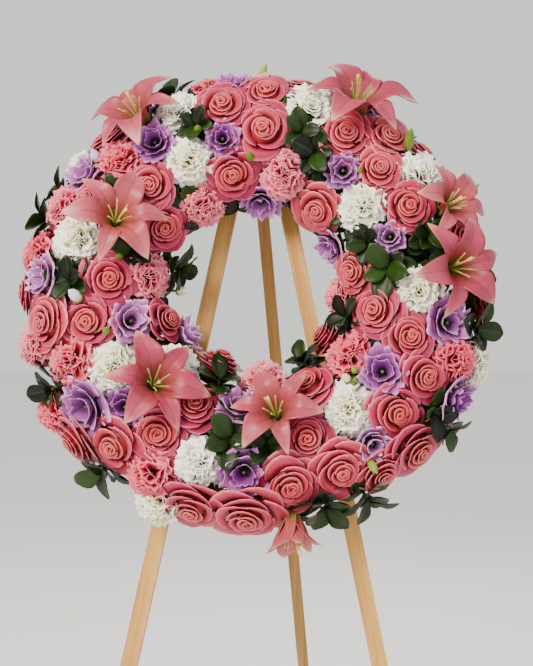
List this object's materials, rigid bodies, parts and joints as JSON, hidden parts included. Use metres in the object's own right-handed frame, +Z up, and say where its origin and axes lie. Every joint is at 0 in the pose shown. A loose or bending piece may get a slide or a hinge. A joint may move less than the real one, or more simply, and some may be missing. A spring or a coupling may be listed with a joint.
{
  "type": "funeral wreath on easel",
  "caption": "Round funeral wreath of roses, carnations, lisianthus and lilies on a foam ring, resting on a folding pine easel.",
  "frame": {"origin": "centre of the box's base, on the floor", "axes": "+Z up, the wreath's face looks to -Y, +X to the viewer's right"},
  "size_m": [0.627, 0.6386, 1.4202],
  "materials": {
    "rose_petals": "soft petal",
    "white_carnation_petals": "soft petal",
    "pink_carnation_petals": "soft petal",
    "lisianthus_petals": "soft petal",
    "lily_petals": "waxy petal",
    "leaves": "waxy leaf",
    "foam": "wet open foam",
    "tray": "moulded",
    "pine": "planed, unfinished",
    "steel": "zinc plated"
  },
  "bodies": {
    "stand": {"foam_ring": "foam", "foliage_1": "leaves", "foliage_2": "leaves", "foliage_3": "leaves", "foliage_4": "leaves", "foliage_5": "leaves", "foliage_6": "leaves", "foliage_7": "leaves", "foliage_8": "leaves", "front_leg_left": "pine", "front_leg_right": "pine", "head_block": "pine", "hinge_bracket": "steel", "hinge_pin": "steel", "lily_1": "lily_petals", "lily_2": "lily_petals", "lily_3": "lily_petals", "lily_4": "lily_petals", "lily_5": "lily_petals", "lily_6": "lily_petals", "lily_7": "lily_petals", "lisianthus_1": "lisianthus_petals", "lisianthus_2": "lisianthus_petals", "lisianthus_3": "lisianthus_petals", "lisianthus_4": "lisianthus_petals", "lisianthus_5": "lisianthus_petals", "lisianthus_6": "lisianthus_petals", "lisianthus_7": "lisianthus_petals", "pink_carnations_1": "pink_carnation_petals", "pink_carnations_2": "pink_carnation_petals", "pink_carnations_3": "pink_carnation_petals", "pink_carnations_4": "pink_carnation_petals", "pink_carnations_5": "pink_carnation_petals", "pink_carnations_6": "pink_carnation_petals", "pink_carnations_7": "pink_carnation_petals", "ring_peg_left": "pine", "ring_peg_right": "pine", "ring_tray": "tray", "roses_1": "rose_petals", "roses_10": "rose_petals", "roses_11": "rose_petals", "roses_2": "rose_petals", "roses_3": "rose_petals", "roses_4": "rose_petals", "roses_5": "rose_petals", "roses_6": "rose_petals", "roses_7": "rose_petals", "roses_8": "rose_petals", "roses_9": "rose_petals", "white_carnations_1": "white_carnation_petals", "white_carnations_2": "white_carnation_petals", "white_carnations_3": "white_carnation_petals", "white_carnations_4": "white_carnation_petals", "white_carnations_5": "white_carnation_petals", "white_carnations_6": "white_carnation_petals", "white_carnations_7": "white_carnation_petals", "white_carnations_8": "white_carnation_petals"},
    "rear_leg": {"rear_leg": "pine"}
  },
  "joints": [
    {"name": "rear_leg_fold", "type": "hinge", "parent": "stand", "child": "rear_leg", "pos_m": [-0.00379, -0.08139, 1.27], "axis": [0.9969, 0.0123, 0.0775], "range_deg": [-26, 0]}
  ]
}
